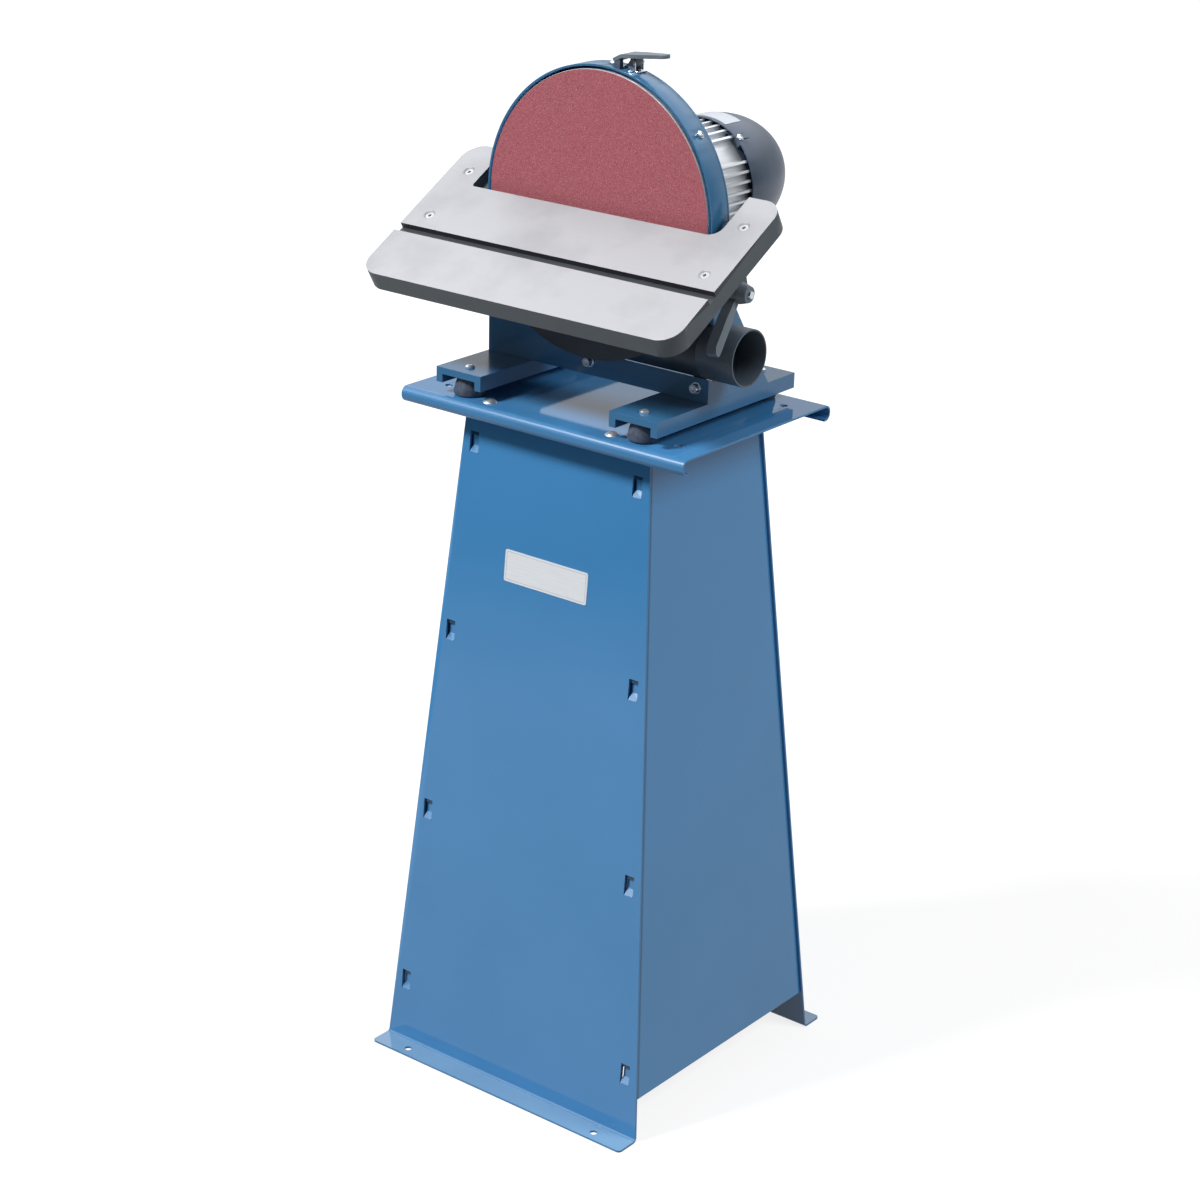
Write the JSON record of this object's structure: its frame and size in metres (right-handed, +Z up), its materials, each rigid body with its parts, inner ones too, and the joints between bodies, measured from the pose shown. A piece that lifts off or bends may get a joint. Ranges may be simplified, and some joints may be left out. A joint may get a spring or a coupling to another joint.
{
  "type": "disc sander",
  "caption": "Floor-standing disc sander: tilting cast table in front of a motor-driven abrasive disc with hood, dust outlet and brake, on a tapered sheet-steel stand.",
  "frame": {"origin": "on the floor, in the middle of the floor bolt holes of the stand", "axes": "+Z up; -Y the side the table and the abrasive face; +X the side of the dust outlet"},
  "size_m": [0.44, 0.447, 1.2288],
  "materials": {
    "blue_paint": "semi-gloss blue paint on sheet steel",
    "black_plastic": "moulded dark grey plastic",
    "plated_steel": "zinc-plated steel",
    "bare_steel": "machined steel",
    "ground_iron": "cast iron, ground top face, painted edges",
    "painted_iron": "cast iron, dark grey paint",
    "cast_aluminium": "die-cast aluminium",
    "grey_paint": "grey paint on pressed steel",
    "black_paint": "black paint on cast zinc",
    "abrasive_cloth": "red-brown abrasive grain on cloth",
    "rubber": "moulded rubber",
    "copper_wire": "varnished copper wire",
    "green_plastic": "green moulded plastic",
    "red_plastic": "red moulded plastic",
    "cream_plastic": "cream moulded plastic"
  },
  "bodies": {
    "frame": {"stand_front_panel": "blue_paint", "stand_rear_panel": "blue_paint", "stand_left_panel": "blue_paint", "stand_right_panel": "blue_paint", "stand_top_plate": "blue_paint", "left_rail": "blue_paint", "right_rail": "blue_paint", "support_plate": "blue_paint", "left_gusset": "blue_paint", "right_gusset": "blue_paint", "motor_plate": "blue_paint", "disc_hood": "blue_paint", "left_tilt_bracket": "blue_paint", "right_tilt_bracket": "blue_paint", "dust_collector": "black_plastic", "dust_outlet": "black_plastic", "switch_box": "black_plastic", "switch_cover": "black_plastic", "cable_gland": "black_plastic", "top_plate_bolts": "plated_steel", "top_plate_nuts": "plated_steel", "foot_screws": "plated_steel", "collector_screws": "plated_steel", "hood_screws": "plated_steel", "motor_bolts": "plated_steel", "cowl_screws": "plated_steel", "cover_screws": "plated_steel", "pivot_bolts": "plated_steel", "clamp_studs": "plated_steel", "brake_bracket": "plated_steel", "brake_pin": "plated_steel", "stator_core": "bare_steel", "front_bearing": "bare_steel", "rear_bearing": "bare_steel", "front_end_bell": "cast_aluminium", "motor_housing": "cast_aluminium", "run_capacitor": "cast_aluminium", "fan_cowl": "grey_paint", "rear_end_bell": "grey_paint", "rubber_feet": "rubber", "stator_windings": "copper_wire", "contact_block": "cream_plastic"},
    "disc_set": {"motor_shaft": "bare_steel", "rotor_core": "bare_steel", "cooling_fan": "black_plastic", "disc_plate": "cast_aluminium", "abrasive_disc": "abrasive_cloth", "hub_screws": "bare_steel"},
    "table": {"sanding_table": "ground_iron", "table_screws": "plated_steel", "left_trunnion": "painted_iron", "right_trunnion": "painted_iron"},
    "left_lever": {"left_clamp_lever": "black_paint"},
    "right_lever": {"right_clamp_lever": "black_paint"},
    "brake": {"brake_lever": "black_paint", "brake_pad": "rubber"},
    "start": {"start_button": "green_plastic"},
    "stop": {"stop_button": "red_plastic"}
  },
  "joints": [
    {"name": "disc_spin", "type": "hinge", "parent": "frame", "child": "disc_set", "pos_m": [0, 0, 1.052], "axis": [0, 1, 0], "continuous": true},
    {"name": "table_tilt", "type": "hinge", "parent": "frame", "child": "table", "pos_m": [0, -0.018, 1.047], "axis": [1, 0, 0], "range_deg": [-30, 15]},
    {"name": "left_clamp_turn", "type": "hinge", "parent": "frame", "child": "left_lever", "pos_m": [-0.185, -0.03426, 0.99029], "axis": [1, 0, 0], "range_deg": [-15, 12]},
    {"name": "right_clamp_turn", "type": "hinge", "parent": "frame", "child": "right_lever", "pos_m": [0.185, -0.03426, 0.99029], "axis": [1, 0, 0], "range_deg": [-15, 12]},
    {"name": "brake_press", "type": "hinge", "parent": "frame", "child": "brake", "pos_m": [0.03449, -0.022, 1.21427], "axis": [0, -1, 0], "range_deg": [0, 4], "stiffness_Nm_per_rad": 1.5, "springref_deg": -5.73},
    {"name": "start_press", "type": "slide", "parent": "frame", "child": "start", "axis": [1, 0, 0], "range_m": [0, 0.004], "stiffness_N_per_m": 400, "springref_m": -0.002},
    {"name": "stop_press", "type": "slide", "parent": "frame", "child": "stop", "axis": [1, 0, 0], "range_m": [0, 0.004], "stiffness_N_per_m": 400, "springref_m": -0.002}
  ]
}
